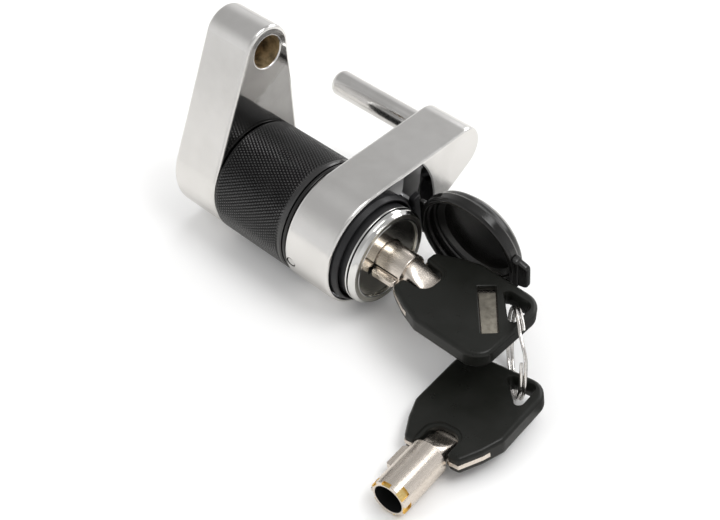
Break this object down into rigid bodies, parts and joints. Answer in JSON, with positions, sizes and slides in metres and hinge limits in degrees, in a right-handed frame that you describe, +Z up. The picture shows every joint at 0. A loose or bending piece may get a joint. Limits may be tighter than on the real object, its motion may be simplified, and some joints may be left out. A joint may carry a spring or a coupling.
{
  "type": "trailer coupler lock",
  "caption": "Barrel-shaped trailer coupler lock: two chromed teardrop arms on a knurled sleeve, a latch pin, a tubular key lock with its cover swung open, and keys on a split ring.",
  "frame": {"origin": "on the barrel axis, at the flat outer face of the receiver arm", "axes": "+X along the barrel from the receiver arm to the lock and its key; +Z up, the way the receiver arm stands; +Y the way the lock arm points"},
  "size_m": [0.1023, 0.0794, 0.0524],
  "materials": {
    "arm_chrome": "polished chrome plate on die-cast zinc alloy",
    "pin_chrome": "chrome plated steel bar",
    "cylinder_chrome": "turned and chrome plated",
    "steel": "bright steel",
    "black_metal": "black oxide over a fine diamond knurl",
    "black_plastic": "satin black moulding",
    "key_nickel": "warm satin nickel plate",
    "lock_brass": "turned brass"
  },
  "bodies": {
    "receiver_half": {"receiver_arm": "arm_chrome", "spindle": "steel", "knurled_sleeve": "black_metal"},
    "turning_washer": {"thrust_ring": "black_plastic"},
    "lock_half": {"lock_arm": "arm_chrome", "latch_pin": "pin_chrome", "cylinder_pin": "steel", "lock_cylinder": "cylinder_chrome", "driver_block": "lock_brass", "cover_ring": "black_plastic", "driver_pin_1": "lock_brass", "driver_pin_2": "lock_brass", "driver_pin_3": "lock_brass", "driver_pin_4": "lock_brass", "driver_pin_5": "lock_brass", "driver_pin_6": "lock_brass", "driver_pin_7": "lock_brass", "pin_spring_1": "steel", "pin_spring_2": "steel", "pin_spring_3": "steel", "pin_spring_4": "steel", "pin_spring_5": "steel", "pin_spring_6": "steel", "pin_spring_7": "steel"},
    "cover": {"dust_cover": "black_plastic"},
    "rotor": {"plug": "lock_brass", "plug_post": "steel", "tail_cam": "steel", "tail_clip": "steel", "key_pin_1": "lock_brass", "key_pin_2": "lock_brass", "key_pin_3": "lock_brass", "key_pin_4": "lock_brass", "key_pin_5": "lock_brass", "key_pin_6": "lock_brass", "key_pin_7": "lock_brass"},
    "ball_1": {"locking_ball_1": "steel"},
    "ball_2": {"locking_ball_2": "steel"},
    "key_1": {"key_1_blade": "key_nickel", "key_1_bow": "black_plastic"},
    "ring": {"split_ring": "steel"},
    "key_2": {"key_2_blade": "key_nickel", "key_2_bow": "black_plastic"}
  },
  "joints": [
    {"name": "swivel", "type": "hinge", "parent": "receiver_half", "child": "turning_washer", "pos_m": [0.036, 0, 0], "axis": [1, 0, 0], "range_deg": [-270, 45]},
    {"name": "lock_pull", "type": "slide", "parent": "turning_washer", "child": "lock_half", "axis": [1, 0, 0], "range_m": [0, 0.008]},
    {"name": "cover_hinge", "type": "hinge", "parent": "lock_half", "child": "cover", "pos_m": [0.0526, 0.01337, 0.00183], "axis": [0, -0.1357, 0.9907], "range_deg": [-4, 40]},
    {"name": "key_turn", "type": "hinge", "parent": "lock_half", "child": "rotor", "pos_m": [0.048, 0, 0], "axis": [1, 0, 0], "range_deg": [-90, 0]},
    {"name": "ball_1_slide", "type": "slide", "parent": "lock_half", "child": "ball_1", "axis": [0, 0, 1], "range_m": [0, 0.0012]},
    {"name": "ball_2_slide", "type": "slide", "parent": "lock_half", "child": "ball_2", "axis": [0, 0, -1], "range_m": [0, 0.0012]},
    {"name": "key_pull", "type": "slide", "parent": "rotor", "child": "key_1", "axis": [1, 0, 0], "range_m": [0, 0.01]},
    {"name": "ring_swing", "type": "hinge", "parent": "key_1", "child": "ring", "pos_m": [0.08449, 0.00659, 0], "axis": [0, 0, 1], "range_deg": [-8, 8]},
    {"name": "key_2_turn", "type": "hinge", "parent": "ring", "child": "key_2", "pos_m": [0.09047, 0.00059, -0.0043], "axis": [-0.7083, -0.7059, 0], "range_deg": [-50, 60]}
  ],
  "couplings": [
    {"joint": "ball_1_slide", "follows": "key_turn", "m_per_rad": -0.00076},
    {"joint": "ball_2_slide", "follows": "key_turn", "m_per_rad": -0.00076}
  ]
}
